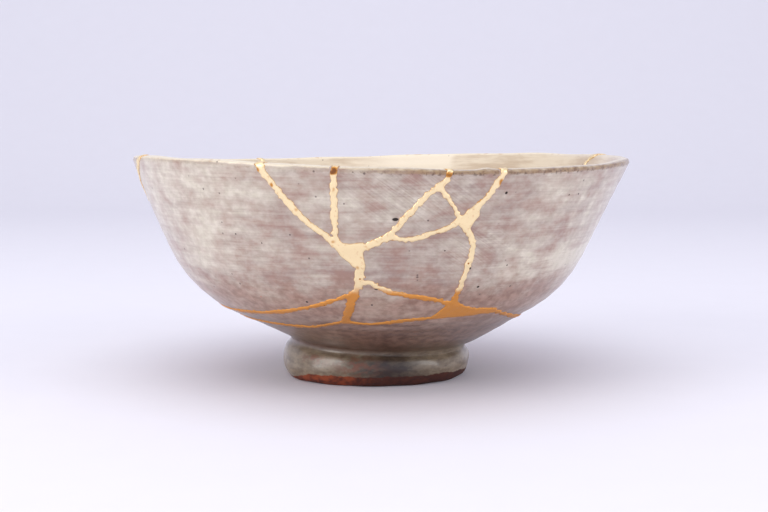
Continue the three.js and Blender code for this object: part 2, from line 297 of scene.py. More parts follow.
def wall_frame(route):
    """Places, outward normals and directions of a route on the outside of the wall, in metres.

    Near the rim the wall's line is carried straight on, as if it had no rounded lip."""
    azimuth, along = np.radians(route[:, 0]), outside_length(route[:, 1])
    low = np.minimum(along, lip_top - 3.5)
    ring = unit(on_bowl(azimuth + 0.01, low) - on_bowl(azimuth - 0.01, low))
    rise = unit(on_bowl(azimuth, low + 0.5) - on_bowl(azimuth, low - 0.5))
    here = on_bowl(azimuth, low) + rise * ((along - low) * mm)[:, None]
    return here, unit(np.cross(ring, rise)), unit(np.gradient(here, axis=0))


blade_out, blade_in = 4, 13  # how far a blade reaches out from the outside, and in from it


def crack_blade(stops, width=0.12 * mm, reach=1.2 * mm, past_rim=7 * mm):
    """A thin blade along a seam, standing square to the wall and right through it."""
    here, normal, direction = wall_frame(smooth_route(stops, 8))
    side = unit(np.cross(normal, direction)) * width / 2
    for end, sign in ((0, -1), (-1, 1)):
        at_rim = isinstance(stops[end], str) and stops[end].startswith("rim")
        here[end] += direction[end] * sign * (past_rim if at_rim else reach)
    outer, inner = here + normal * blade_out * mm, here - normal * blade_in * mm
    rings = np.stack([outer + side, outer - side, inner - side, inner + side], axis=1)
    ends = 4 * (len(here) - 1)
    faces = [(0, 3, 2, 1), (ends, ends + 1, ends + 2, ends + 3)]
    for i in range(0, ends, 4):
        # Both broad sides are split along the same diagonal, so that a twisted blade stays whole.
        faces += [(i, i + 1, i + 5), (i, i + 5, i + 4)]
        faces += [(i + 2, i + 3, i + 7), (i + 2, i + 7, i + 6)]
        faces += [(i, i + 4, i + 7), (i, i + 7, i + 3)]
        faces += [(i + 1, i + 2, i + 6), (i + 1, i + 6, i + 5)]
    mesh = bpy.data.meshes.new("blade")
    mesh.from_pydata(rings.reshape(-1, 3).tolist(), [], faces)
    blade = bpy.data.objects.new("blade", mesh)
    bpy.context.collection.objects.link(blade)
    bpy.ops.object.select_all(action="DESELECT")
    bpy.context.view_layer.objects.active = blade
    blade.select_set(True)
    bpy.ops.object.mode_set(mode="EDIT")
    bpy.ops.mesh.select_all(action="SELECT")
    bpy.ops.mesh.normals_make_consistent(inside=False)
    bpy.ops.object.mode_set(mode="OBJECT")
    return blade


def cut(piece, tool, operation):
    """Joins or cuts a piece with a tool, and throws the tool away."""
    boolean = piece.modifiers.new(operation.lower(), "BOOLEAN")
    boolean.operation = operation
    boolean.solver = "MANIFOLD"
    boolean.object = tool
    bpy.context.view_layer.objects.active = piece
    bpy.ops.object.modifier_apply(modifier=boolean.name)
    bpy.data.objects.remove(tool)


blades = [crack_blade(stops) for _, *stops in seams]
cracks = blades[0]
for blade in blades[1:]:
    cut(cracks, blade, "UNION")
whole = BVHTree.FromObject(bowl, bpy.context.evaluated_depsgraph_get())
cut(bowl, cracks, "DIFFERENCE")
bpy.ops.object.select_all(action="DESELECT")
bowl.select_set(True)
bpy.context.view_layer.objects.active = bowl
bpy.ops.object.mode_set(mode="EDIT")
bpy.ops.mesh.select_all(action="SELECT")
bpy.ops.mesh.separate(type="LOOSE")
bpy.ops.object.mode_set(mode="OBJECT")
pieces = list(bpy.context.selected_objects)
for name, (turn, high) in sherds.items():
    seed = on_bowl(np.radians(turn), outside_length(high))
    sherd = min(pieces, key=lambda p: np.linalg.norm(corner_array(p.data) - seed, axis=1).min())
    pieces.remove(sherd)
    sherd.name = "mended_" + name
    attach(sherd, "root")
    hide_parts(name)
    sherds[name] = sherd
for splinter in pieces:
    # Crumbs between blades where cracks meet, lost under the gold.
    bpy.data.objects.remove(splinter)


# ---------------------------------------------------------------------------------------------
# The white slip and the glaze. Thin white slip was brushed over the iron-bearing clay in long
# strokes round the wheel, thicker on the left and in a few sweeps on the right, and a clear glaze
# covers all but the bottom edge of the foot. How much slip lies where is worked out here for each
# corner of the mesh, and the brush hairs, specks and pits are in the material.
def lattice_noise(points, size, seed):
    """Smooth random values from 0 to 1 over points in millimetres, with blotches of a size."""
    table = np.random.default_rng(seed).random((32, 32, 32))
    cell = np.floor(np.asarray(points) / size).astype(int)
    t = np.asarray(points) / size - cell
    t = t * t * (3 - 2 * t)
    value = 0
    for i in (0, 1):
        for j in (0, 1):
            for k in (0, 1):
                weight = np.ones(t.shape[:-1])
                for axis, side in enumerate((i, j, k)):
                    weight = weight * (t[..., axis] if side else 1 - t[..., axis])
                corner = tuple((cell[..., n] + side) % 32 for n, side in enumerate((i, j, k)))
                value = value + weight * table[corner]
    return value


def turn_from(azimuth, centre):
    """Degrees from a centre azimuth, wrapped to half a turn."""
    return (np.degrees(azimuth) - centre + 180) % 360 - 180


def blot(azimuth, high, centre, size):
    """A soft round blot: one at its centre, a third at its size in degrees and millimetres."""
    turn = turn_from(azimuth, centre[0]) / size[0]
    return np.exp(-(turn**2) - ((high - centre[1]) / size[1]) ** 2)


mm_per_degree = 1.15  # round the wall, about 66 mm from the axis


def stroke(azimuth, high, start, end, first, last):
    """A brushed stroke between two places, with a soft edge, as broad as first to last."""
    across = mm_per_degree * turn_from(azimuth, start[0])
    run, lift = mm_per_degree * (end[0] - start[0]), end[1] - start[1]
    t = np.clip((across * run + (high - start[1]) * lift) / (run**2 + lift**2), 0, 1)
    away = np.hypot(across - t * run, high - start[1] - t * lift)
    return np.exp(-((away / (first + (last - first) * t)) ** 2))


def paint(sherd):
    """Stores where a sherd's slip, strokes, rim band and rust spots lie."""
    mesh = sherd.data
    co = corner_array(mesh) / mm
    along = read_attribute(mesh, "along")
    radius, high = section_point(along)
    azimuth = np.arctan2(co[:, 0] + leaning(high), -co[:, 1])
    turn = turn_from(azimuth, 0)
    past_back = turn_from(azimuth, 170)
    cloud = lattice_noise(co, 9, 1)
    wisps = lattice_noise(co * (1, 1, 2.5), 5, 2)
    slip = 0.42 + 0.35 * (cloud - 0.5) + 0.3 * (wisps - 0.5)
    for centre, size, gain in slip_blots:
        slip = slip + gain * blot(azimuth, high, centre, size)
    strokes = 0
    for gain, *stops in pale_strokes:
        for (*start, first), (*end, last) in zip(stops, stops[1:]):
            strokes = np.maximum(strokes, gain * stroke(azimuth, high, start, end, first, last))
    values = {
        "past_lip": along - lip_top,
        "slip": np.clip(slip, 0, 1),
        "strokes": np.clip(strokes * (0.7 + 0.6 * wisps), 0, 1),
        "band": 0.22 + 0.78 * smooth(turn, -12, 14) * smooth(abs(turn - 30), 120, 60),
        "hatch": blot(azimuth, high, (7, 59), (13, 8)) + blot(azimuth, high, (22, 44), (7, 6)),
        "cream": (smooth(past_back, -11.4, -10.6) * smooth(past_back, 22, 4)
                  * smooth(high + 16 * (wisps - 0.5), 36, 52)),
        "umber": blot(azimuth, high, (8, 5), (22, 6)),
        "rust": blot(azimuth, high, (-12, 6), (12, 2.5)) + blot(azimuth, high, (-40, 7), (8, 1.2)),
        "fired_dark": 0.85 * smooth(turn, -24, 4),
        "clay_top": 0.7 + 2.3 * smooth(turn, -62, -38) - 0.7 * smooth(turn, 40, 80),
    }
    for key, value in values.items():
        mesh.attributes.new(key, "FLOAT", "POINT").data.foreach_set("value", value)


# Where the slip lies thicker or thinner: centre, size, and how much.
slip_blots = [
    ((-64, 59), (16, 9), 0.30), ((-53, 43), (16, 13), 0.30), ((-32, 55), (12, 10), 0.24),
    ((-10, 57), (7, 5), 0.10), ((0, 55), (7, 7), 0.16), ((-33, 36), (26, 6), -0.12),
    ((28, 54), (20, 9), -0.14), ((8, 39), (14, 5), -0.16), ((-22, 47), (10, 6), -0.16),
    ((40, 31), (24, 5), -0.30), ((75, 50), (18, 14), 0.15), ((13, 53), (6, 4), 0.10),
    ((-7, 51), (6, 5), -0.22), ((38, 57), (8, 7), 0.20), ((2, 38), (10, 6), -0.14),
]
# Strokes of the brush: strength, then azimuth, height and half breadth from one end to the other.
pale_strokes = [
    (0.30, (21.8, 51, 0.5), (30, 45.4, 0.6), (39.2, 41.4, 0.8), (56, 38.6, 0.9)),
    (0.20, (22.7, 46.9, 0.5), (39.3, 41.0, 0.5)),
    (0.34, (31.7, 38.9, 0.4), (40.5, 40.5, 0.6), (57.3, 38.2, 1.6)),
    (0.75, (41, 39.6, 1.0), (54, 38.6, 3.0), (78, 38.0, 5.0), (100, 38.0, 6.0)),
    (0.45, (33, 37.0, 2.0), (52, 35.0, 2.6), (72, 34.4, 3.0), (90, 35, 3.0)),
    (0.30, (51.4, 58.8, 1.0), (50.6, 53.2, 1.4), (51.1, 46.8, 1.0)),
    (0.30, (57.5, 57.0, 1.0), (57.9, 49.0, 1.2)),
    (0.20, (46, 58.0, 0.8), (43, 53.0, 0.8)),
]


glaze = bpy.data.materials.new("slip_glazed_stoneware")
glaze.use_nodes = True
tree = glaze.node_tree


def add(kind, inputs=None, **settings):
    """A node in the material being built, with its inputs set or linked by name."""
    node = tree.nodes.new(kind)
    for key, value in settings.items():
        setattr(node, key, value)
    for key, value in (inputs or {}).items():
        if isinstance(value, bpy.types.NodeSocket):
            tree.links.new(value, node.inputs[key])
        else:
            node.inputs[key].default_value = value
    return node


def attribute(name):
    return add("ShaderNodeAttribute", attribute_name=name).outputs["Fac"]


def grain(scale, detail=3.0, rough=0.6):
    """Noise in object space with its own scale along each axis, per metre."""
    where = add("ShaderNodeVectorMath", {0: objectwise, 1: scale}, operation="MULTIPLY")
    noise_node = add("ShaderNodeTexNoise", {
        "Vector": where.outputs[0], "Scale": 1.0, "Detail": detail, "Roughness": rough})
    return noise_node.outputs["Fac"]


def calc(operation, a, b=0.0, c=0.0, clamp=False):
    return add("ShaderNodeMath", {0: a, 1: b, 2: c}, operation=operation,
               use_clamp=clamp).outputs[0]


def ramp(value, low, high, to_low=0.0, to_high=1.0):
    """The value mapped smoothly from low..high to to_low..to_high."""
    return add("ShaderNodeMapRange", {
        "Value": value, "From Min": low, "From Max": high, "To Min": to_low, "To Max": to_high,
    }, interpolation_type="SMOOTHSTEP").outputs["Result"]


def tint(factor, a, b):
    """Colour a going over to colour b as the factor rises."""
    mix = add("ShaderNodeMix", data_type="RGBA", blend_type="MIX", clamp_factor=True)
    for socket, value in ((mix.inputs[0], factor), (mix.inputs[6], a), (mix.inputs[7], b)):
        if isinstance(value, bpy.types.NodeSocket):
            tree.links.new(value, socket)
        else:
            socket.default_value = value
    return mix.outputs[2]


def colour(red, green, blue):
    """A colour given as on a screen, 0 to 255, made linear."""
    return tuple(((c / 255 + 0.055) / 1.055) ** 2.4 if c > 10 else c / 3294.6
                 for c in (red, green, blue)) + (1.0,)


def specks(scale, share, size):
    """Small round spots in a share of random cells: one in a spot, nought elsewhere."""
    cells = add("ShaderNodeTexVoronoi", {"Vector": objectwise, "Scale": scale, "Randomness": 1.0})
    chosen = calc("LESS_THAN", add("ShaderNodeSeparateColor", {
        "Color": cells.outputs["Color"]}).outputs[0], share)
    return calc("MULTIPLY", chosen, ramp(cells.outputs["Distance"], size, size * 0.45))


tree.nodes.clear()
objectwise = add("ShaderNodeTexCoord").outputs["Object"]
high = calc("MULTIPLY", add("ShaderNodeSeparateXYZ", {0: objectwise}).outputs["Z"], 1000)
long_streaks = grain((35, 35, 800))
fine_streaks = grain((110, 110, 3000), 2)
mottle = grain((420, 420, 520), 4)
blotches = grain((150, 150, 230), 4)

# Brush hairs drawn slantwise near the rim in the middle, and in a patch lower down to the right.
slant = add("ShaderNodeVectorRotate", {
    "Vector": objectwise, "Axis": (0, 1, 0), "Angle": radians(-36)}).outputs[0]
hairs = add("ShaderNodeTexNoise", {
    "Vector": add("ShaderNodeVectorMath", {0: slant, 1: (120, 120, 2400)},
                  operation="MULTIPLY").outputs[0],
    "Scale": 1.0, "Detail": 2.0}).outputs["Fac"]


def sway(value, amount, base):
    """The base, swayed both ways by a noise value."""
    return calc("MULTIPLY_ADD", calc("SUBTRACT", value, 0.5), amount, base)


cover = sway(long_streaks, 0.75, attribute("slip"))
cover = sway(fine_streaks, 0.35, cover)
cover = sway(blotches, 1.5, cover)
cover = sway(grain((60, 60, 75), 2), 0.7, cover)
cover = sway(mottle, 0.5, cover)
cover = calc("ADD", cover, calc("MULTIPLY", sway(hairs, 1.1, 0.0), attribute("hatch")))
cover = calc("ADD", cover, calc("MULTIPLY", attribute("strokes"),
                                ramp(fine_streaks, 0.3, 0.6, 0.75, 1.1)), clamp=True)
bare_body = tint(ramp(blotches, 0.35, 0.65), colour(161, 128, 114), colour(148, 124, 116))
wall = tint(cover, bare_body, tint(ramp(mottle, 0.3, 0.7), colour(208, 199, 178),
                                   colour(221, 211, 194)))
low_body = tint(ramp(mottle, 0.3, 0.7), colour(130, 94, 74), colour(172, 137, 118))
low_body = tint(ramp(cover, 0.2, 0.9, 0, 0.45), low_body, colour(186, 162, 142))
wall = tint(calc("MULTIPLY", ramp(sway(blotches, 12, high), 38, 27), 0.85), wall, low_body)
# Below about 26 mm the wall goes over to dark brown: partly the clay under thinner slip, partly
# painted shade under the bowl.
underside_thin_slip_and_shade = tint(ramp(mottle, 0.3, 0.7), colour(96, 66, 52), colour(138, 106, 88))
wall = tint(ramp(sway(blotches, 8, high), 26, 17), wall, underside_thin_slip_and_shade)
# Painted shade: the fold just above the foot, from 15 mm down to 11 mm, is darkened towards deep
# brown.
wall = tint(ramp(high, 15, 11, 0, 0.6), wall, colour(78, 56, 42))

# The foot ring: pooled grey-green glaze, darker and rusty in places, and bare clay at its edge.
smears = grain((260, 260, 600), 3)
foot_glaze = tint(ramp(smears, 0.3, 0.7), colour(106, 89, 69), colour(143, 127, 104))
stained = calc("MULTIPLY", attribute("umber"), ramp(smears, 0.75, 0.35, 0.9, 1.2), clamp=True)
foot_glaze = tint(stained, foot_glaze, colour(40, 22, 13))
rusty = calc("MULTIPLY", attribute("rust"), ramp(grain((450, 450, 700), 3), 0.42, 0.56))
foot_glaze = tint(calc("MULTIPLY", rusty, 0.8, clamp=True), foot_glaze, colour(116, 60, 34))
wall = tint(ramp(high, 11.3, 9.2), wall, foot_glaze)
clay_edge = calc("SUBTRACT", sway(grain((260, 260, 260), 3), 1.6, high), attribute("clay_top"))
bare = ramp(clay_edge, 0.2, -0.1)
clay = tint(ramp(grain((420, 420, 700), 4), 0.35, 0.65), colour(80, 28, 12), colour(146, 66, 32))
clay = tint(attribute("fired_dark"), clay, colour(50, 14, 5))
wall = tint(bare, wall, clay)

# The lip: its top is cream with a painted highlight; just under it the slip has run thin and shows
# an olive-brown line.
past_lip = attribute("past_lip")
ragged = sway(grain((300, 300, 600), 3), 1.0, past_lip)
# Painted highlight: the top's cream is made near white where the band is weak, on the left, for
# the light caught along the top of the lip.
lip_cream_and_highlight = tint(ramp(grain((500, 500, 900), 3), 0.55, 0.75), colour(250, 238, 208),
                 colour(212, 172, 120))
lip_cream_and_highlight = tint(calc("MULTIPLY", attribute("band"), 0.6), lip_cream_and_highlight, colour(206, 192, 164))
wall = tint(calc("MULTIPLY", ramp(ragged, -2.1, -1.5), ramp(past_lip, 2.6, 1.4)), wall, lip_cream_and_highlight)
band = calc("MULTIPLY", ramp(ragged, -3.0, -2.4), ramp(ragged, -0.6, -1.2))
band = calc("MULTIPLY", band, attribute("band"))
olive = tint(ramp(grain((700, 700, 900), 3), 0.4, 0.65), colour(158, 128, 88), colour(120, 86, 54))
wall = tint(calc("MULTIPLY", band, ramp(mottle, 0.3, 0.6, 0.5, 0.95)), wall, olive)
dark_grains = calc("MULTIPLY", ramp(ragged, -3.3, -2.9), ramp(ragged, -1.9, -2.4))
dark_grains = calc("MULTIPLY", calc("MULTIPLY", dark_grains, attribute("band")),
                   ramp(grain((900, 900, 900), 2), 0.50, 0.62, 0, 0.65))
wall = tint(dark_grains, wall, colour(84, 56, 34))

# The inside: a beige slip, lighter and cream-white in one broad patch at the back.
inner_streaks = ramp(grain((60, 60, 420), 4), 0.35, 0.65)
inner = tint(inner_streaks, colour(196, 176, 150), colour(222, 208, 184))
inner = tint(attribute("cream"), inner, colour(232, 220, 198))
wall = tint(ramp(past_lip, 0.8, 2.2), wall, inner)

# Iron specks all over, small orange ones, and a few larger pits where grit burnt out.
spots = calc("MAXIMUM", specks(230, 0.20, 0.10), specks(420, 0.10, 0.16))
wall = tint(calc("MULTIPLY", spots, 0.75), wall, colour(72, 52, 44))
wall = tint(calc("MULTIPLY", specks(150, 0.09, 0.060), 0.7), wall, colour(190, 100, 70))
pits = [((3.7, 52.5), 0.62, 1.7), ((26.9, 59.5), 0.5, 1.0), ((45.4, 57.9), 0.32, 1.0),
        ((48.9, 57.9), 0.32, 1.0), ((-19.8, 47.2), 0.25, 1.0), ((-34.4, 46.4), 0.28, 1.0),
        ((-27.5, 44.5), 0.24, 1.0), ((-40.8, 34.9), 0.24, 1.0), ((-0.3, 32.8), 0.42, 1.4),
        ((15.7, 43.7), 0.26, 1.0), ((23.1, 38.3), 0.40, 1.0), ((33.6, 38.7), 0.28, 1.0),
        ((27.1, 32.6), 0.42, 1.3), ((-20.1, 28.2), 0.40, 1.2), ((-1.7, 27.9), 0.36, 1.0)]
pitted = 0.0
for (turn, rise), size, stretch in pits:
    middle = on_bowl(np.radians(turn), outside_length(rise))
    offset = add("ShaderNodeVectorMath", {0: objectwise, 1: tuple(middle)}, operation="SUBTRACT")
    offset = add("ShaderNodeVectorMath", {0: offset.outputs[0], 1: (1 / stretch, 1, 1)},
                 operation="MULTIPLY")
    away = add("ShaderNodeVectorMath", {0: offset.outputs[0]}, operation="LENGTH")
    pitted = calc("MAXIMUM", pitted, ramp(away.outputs["Value"], size * mm, size * 0.6 * mm))
wall = tint(calc("MULTIPLY", pitted, 0.96), wall, colour(26, 14, 12))
spots = calc("MAXIMUM", spots, pitted)

relief_bump = calc("MULTIPLY_ADD", fine_streaks, 0.5, calc("MULTIPLY", mottle, 0.4))
relief_bump = calc("SUBTRACT", relief_bump, calc("MULTIPLY", spots, 0.6))
bump = add("ShaderNodeBump", {"Height": relief_bump, "Strength": 0.3, "Distance": 0.00012})
clear_coat = calc("SUBTRACT", 0.6, calc("MULTIPLY", bare, 0.6))
surface = add("ShaderNodeBsdfPrincipled", {
    "Base Color": wall, "Roughness": calc("MAXIMUM", ramp(bare, 0, 1, 0.34, 0.75), pitted),
    "Specular IOR Level": 0.5, "IOR": 1.5,
    "Coat Weight": calc("MULTIPLY", clear_coat, calc("SUBTRACT", 1.0, pitted)),
    "Coat Roughness": 0.2, "Normal": bump.outputs[0]})
add("ShaderNodeOutputMaterial", {"Surface": surface.outputs[0]})

for sherd in sherds.values():
    paint(sherd)
    sherd.data.materials.clear()
    sherd.data.materials.append(glaze)
    bpy.ops.object.select_all(action="DESELECT")
    sherd.select_set(True)
    bpy.context.view_layer.objects.active = sherd
    bpy.ops.object.shade_smooth_by_angle(angle=radians(50))


# ---------------------------------------------------------------------------------------------
# The gold. Each crack was filled with lacquer that stands a little proud of the glaze, and gold
# powder was dusted on while it was wet. The lines wander in width, web out where they meet, and
# fill three chips as patches. It is one skin over the outside, the lip and the inside, laid out
# on a fine grid of azimuth and length along the section.
grid_turns = 1440
grid_step = 0.36
inner_depth = 84  # how far down the inside the gold may reach, along the section
chips = [
    [(-10.6, 45.5), (-7.4, 45.5), (-3, 46), (-3, 42.5), (-2.8, 38.5), (-5.8, 39), (-8.6, 42.1)],
    [(17.2, 51.7), (19.4, 55.3), (21.4, 56.8), (22.3, 53.5), (20.6, 50.1)],
    [(20.4, 28.7), (28, 25.9), (39, 25.1), (37, 23.5), (24, 23.1), (16.4, 23.5)],
]
grid_azimuth = np.radians(np.arange(grid_turns) * 360 / grid_turns - 180)
grid_along = np.arange(outside_length(13.0), lip_top + inner_depth, grid_step)
field = np.full((len(grid_along), grid_turns), -60.0)  # far from any gold
inner_along = np.arange(lip_top, lip_top + inner_depth, 0.1)
inner_radius, inner_height = section_point(inner_along)


def inside_place(here, normal):
    """Where a crack at places on the outside comes out inside, as azimuth and length."""
    found = []
    for point, outward in zip(here, normal):
        deep = Vector(point - outward * blade_in * mm)
        hit = whole.ray_cast(deep, Vector(outward), (blade_in + 3) * mm)[0]
        if hit is None:
            continue
        x, y, z = np.array(hit) / mm
        height = z
        for _ in range(6):
            shift = place(0.0, height, 0.0)[0]
            azimuth = np.arctan2(x - shift, -y)
            height = z - (place(0.0, height, azimuth)[2] - height)
        radius = np.hypot(x - shift, y)
        nearest = np.argmin((inner_radius - radius) ** 2 + (inner_height - height) ** 2)
        found.append((azimuth, inner_along[nearest]))
    return np.array(found)


def spread(line, azimuth, along, half):
    """Half the width less the distance to a line, at grid places near it."""
    nearest = np.full(azimuth.shape, 1e9)
    width = np.zeros(azimuth.shape)
    here = on_bowl(azimuth, along) / mm
    for point, reach in zip(line, half):
        distance = np.linalg.norm(here - point, axis=-1)
        closer = distance < nearest
        nearest[closer] = distance[closer]
        width[closer] = reach
    return width - nearest


def window(azimuth, along, margin=4.0, radius=38.0):
    """The rows and columns of the grid that lie around a line, and their azimuth and length.

    The margin is in millimetres, and becomes an angle at the radius."""
    middle = azimuth[len(azimuth) // 2]
    turn = (azimuth - middle + pi) % (2 * pi) - pi
    grid_turn = (grid_azimuth - middle + pi) % (2 * pi) - pi
    edge = margin / radius
    columns = np.flatnonzero((grid_turn > turn.min() - edge) & (grid_turn < turn.max() + edge))
    rows = np.flatnonzero((grid_along > along.min() - margin)
                          & (grid_along < along.max() + margin))
    rows, columns = np.ix_(rows, columns)
    return rows, columns, *np.broadcast_arrays(grid_azimuth[columns], grid_along[rows])


web = 0.3


def lay(rows, columns, value):
    """Joins a line's field to the rest, with a small web where two meet."""
    old = field[rows, columns]
    top = np.maximum(old, value)
    both = np.exp((old - top) / web) + np.exp((value - top) / web)
    field[rows, columns] = top + web * np.log(both)


def lay_line(azimuth, along, width):
    """One gold line along a route of azimuth and length."""
    line = on_bowl(azimuth, along) / mm
    slow = lattice_noise(line, 4.5, 11) - 0.5
    half = width / 2 * (1 + 0.5 * slow)
    rows, columns, a, s = window(azimuth, along)
    fringe = 0.9 * (lattice_noise(on_bowl(a, s) / mm, 0.8, 12) - 0.5)
    value = spread(line, a, s, half) + fringe
    lay(rows, columns, value)


def lay_chip(azimuth, along):
    """A chip filled with gold, inside an outline of azimuth and length."""
    corners = on_bowl(azimuth, along) / mm
    centre = corners.mean(axis=0)
    across = unit(np.cross((0, 0, 1), centre * (1, 1, 0)))
    upward = unit(np.cross(centre * (1, 1, 0.2), across))
    outline = np.stack([(corners - centre) @ across, (corners - centre) @ upward], axis=-1)
    rows, columns, a, s = window(azimuth, along)
    here = on_bowl(a, s) / mm - centre
    x, y = here @ across, here @ upward
    inside = np.zeros(x.shape, bool)
    nearest = np.full(x.shape, 1e9)
    for (x0, y0), (x1, y1) in zip(outline, np.roll(outline, -1, axis=0)):
        t = np.clip(((x - x0) * (x1 - x0) + (y - y0) * (y1 - y0))
                    / ((x1 - x0) ** 2 + (y1 - y0) ** 2), 0, 1)
        nearest = np.minimum(nearest, np.hypot(x - x0 - t * (x1 - x0), y - y0 - t * (y1 - y0)))
        crossing = (y0 > y) != (y1 > y)
        inside ^= crossing & (x < (x1 - x0) * (y - y0) / (y1 - y0 + 1e-12) + x0)
    wander = 0.5 * (lattice_noise(on_bowl(a, s) / mm, 1.6, 14) - 0.5)
    lay(rows, columns, np.where(inside, nearest, -nearest) + wander - 0.1)


for width, *stops in seams:
    route = smooth_route(stops, 40)
    azimuth, along = np.radians(route[:, 0]), outside_length(route[:, 1])
    lay_line(azimuth, along, width)
    here, normal, direction = wall_frame(route)
    # Past the rim the crack is followed straight on, so that its way down over the lip is found.
    past_rim = np.arange(0.4, 8, 0.4)[:, None] * mm
    from_rim, to_rim = (isinstance(stop, str) and stop.startswith("rim")
                        for stop in (stops[0], stops[-1]))
    if from_rim:
        here = np.vstack([here[0] - direction[0] * past_rim[::-1], here])
        normal = np.vstack([np.repeat(normal[:1], len(past_rim), axis=0), normal])
    if to_rim:
        here = np.vstack([here, here[-1] + direction[-1] * past_rim])
        normal = np.vstack([normal, np.repeat(normal[-1:], len(past_rim), axis=0)])
    inner_route = inside_place(here, normal)
    if from_rim:
        inner_route = np.vstack([(azimuth[0], lip_top), inner_route])
    if to_rim:
        inner_route = np.vstack([inner_route, (azimuth[-1], lip_top)])
    lay_line(inner_route[:, 0], inner_route[:, 1], width * 0.9)
for outline in chips:
    turn, rise = np.array(outline, float).T
    lay_chip(np.radians(turn), outside_length(rise))
    here, normal, _ = wall_frame(np.array(outline, float))
    lay_chip(*inside_place(here, normal).T)

# The grid's places inside the gold, and those where its edge crosses between two of them.
inside = field > 0
beside_field = np.roll(field, -1, axis=1)
numbers = np.full((3, *field.shape), -1)
cross_turn = inside != np.roll(inside, -1, axis=1)
cross_along = np.zeros_like(inside)
cross_along[:-1] = inside[:-1] != inside[1:]
for layer, chosen in enumerate((inside, cross_turn, cross_along)):
    numbers[layer][chosen] = np.arange(chosen.sum()) + numbers.max() + 1
turn_step = 2 * pi / grid_turns
rows, columns = np.nonzero(inside)
corner_azimuth = [grid_azimuth[columns]]
corner_along = [grid_along[rows]]
corner_edge = [field[inside]]
rows, columns = np.nonzero(cross_turn)
share = field[cross_turn] / (field[cross_turn] - beside_field[cross_turn])
corner_azimuth.append(grid_azimuth[columns] + share * turn_step)
corner_along.append(grid_along[rows])
corner_edge.append(0 * share)
rows, columns = np.nonzero(cross_along)
share = field[rows, columns] / (field[rows, columns] - field[rows + 1, columns])
corner_azimuth.append(grid_azimuth[columns])
corner_along.append(grid_along[rows] + share * grid_step)
corner_edge.append(0 * share)
corner_azimuth, corner_along, corner_edge = map(
    np.concatenate, (corner_azimuth, corner_along, corner_edge))

# One face for each grid cell: round its corners, taking in the crossings between them.
faces = []
next_column = np.roll(np.arange(grid_turns), -1)
in_gold, across_turn, across_along = numbers
ring_numbers = [
    in_gold[:-1], across_turn[:-1], in_gold[:-1][:, next_column],
    across_along[:-1][:, next_column], in_gold[1:][:, next_column], across_turn[1:], in_gold[1:],
    across_along[:-1]]
ring = np.stack(ring_numbers, axis=-1)
for cell in ring[(ring >= 0).any(axis=-1)]:
    faces.append([int(n) for n in cell if n >= 0])

gold_mesh = bpy.data.meshes.new("gold_lines")
under = on_bowl(corner_azimuth, corner_along, -0.3)
gold_mesh.from_pydata(under.tolist(), [], faces)
for key, value in (("turn", corner_azimuth), ("along", corner_along), ("edge", corner_edge)):
    gold_mesh.attributes.new(key, "FLOAT", "POINT").data.foreach_set("value", value)
gold = bpy.data.objects.new("gold_lines", gold_mesh)
bpy.context.collection.objects.link(gold)
bpy.ops.object.select_all(action="DESELECT")
gold.select_set(True)
bpy.context.view_layer.objects.active = gold
bpy.ops.object.mode_set(mode="EDIT")
bpy.ops.mesh.select_all(action="SELECT")
bpy.ops.mesh.extrude_region_move(TRANSFORM_OT_translate={"value": (0, 0, 0)})
bpy.ops.object.mode_set(mode="OBJECT")
raised = np.empty(len(gold_mesh.vertices), bool)
gold_mesh.vertices.foreach_get("select", raised)
turn, along, edge = (read_attribute(gold_mesh, key) for key in ("turn", "along", "edge"))
here = corner_array(gold_mesh)
crown_height = 0.29
crown = np.sqrt(1 - (1 - np.clip(edge / 0.5, 0, 1)) ** 2)
lumps = 0.10 * (lattice_noise(here / mm, 1.4, 21) - 0.5) * crown
top = on_bowl(turn, along, crown_height * crown + lumps - 0.05)
here[raised] = top[raised]
gold_mesh.vertices.foreach_set("co", here.ravel())
gold_mesh.update()
bpy.ops.object.mode_set(mode="EDIT")
bpy.ops.mesh.select_all(action="SELECT")
bpy.ops.mesh.normals_make_consistent(inside=False)
bpy.ops.object.mode_set(mode="OBJECT")
bpy.ops.object.shade_smooth_by_angle(angle=radians(70))
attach(gold, "root")
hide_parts("gold_seams")

# Brown lacquer shows where the gold has worn, at the ends on the rim and in spots along the lines:
# centre, size, and how much.
bare_lacquer = [((-9, 64.7), (1.1, 0.8), 1.2), ((-25, 64.2), (0.9, 1.0), 0.5),
                ((13.6, 64.4), (1.4, 0.9), 0.7), ((25, 62.4), (0.9, 1.4), 0.6),
                ((-22.3, 60.3), (0.6, 0.8), 0.5), ((-17.5, 54.2), (0.7, 0.7), 0.5),
                ((-9.8, 46), (1.1, 0.8), 0.4), ((-4.6, 39), (0.6, 0.9), 0.5),
                ((-9.2, 60), (0.6, 1.2), 0.4), ((7.5, 55.5), (0.5, 1.6), 0.35),
                ((4.4, 51.2), (0.5, 1.4), 0.35), ((14.5, 58.6), (0.4, 0.8), 0.3)]
_, high_up = section_point(along)
worn = np.zeros(len(turn))
for centre, size, gain in bare_lacquer:
    worn += gain * blot(turn, high_up, centre, size) * (along < lip_top + 1)
worn *= 0.6 + 0.9 * lattice_noise(here / mm, 0.7, 31)
gold_mesh.attributes.new("worn", "FLOAT", "POINT").data.foreach_set("value", np.clip(worn, 0, 1))

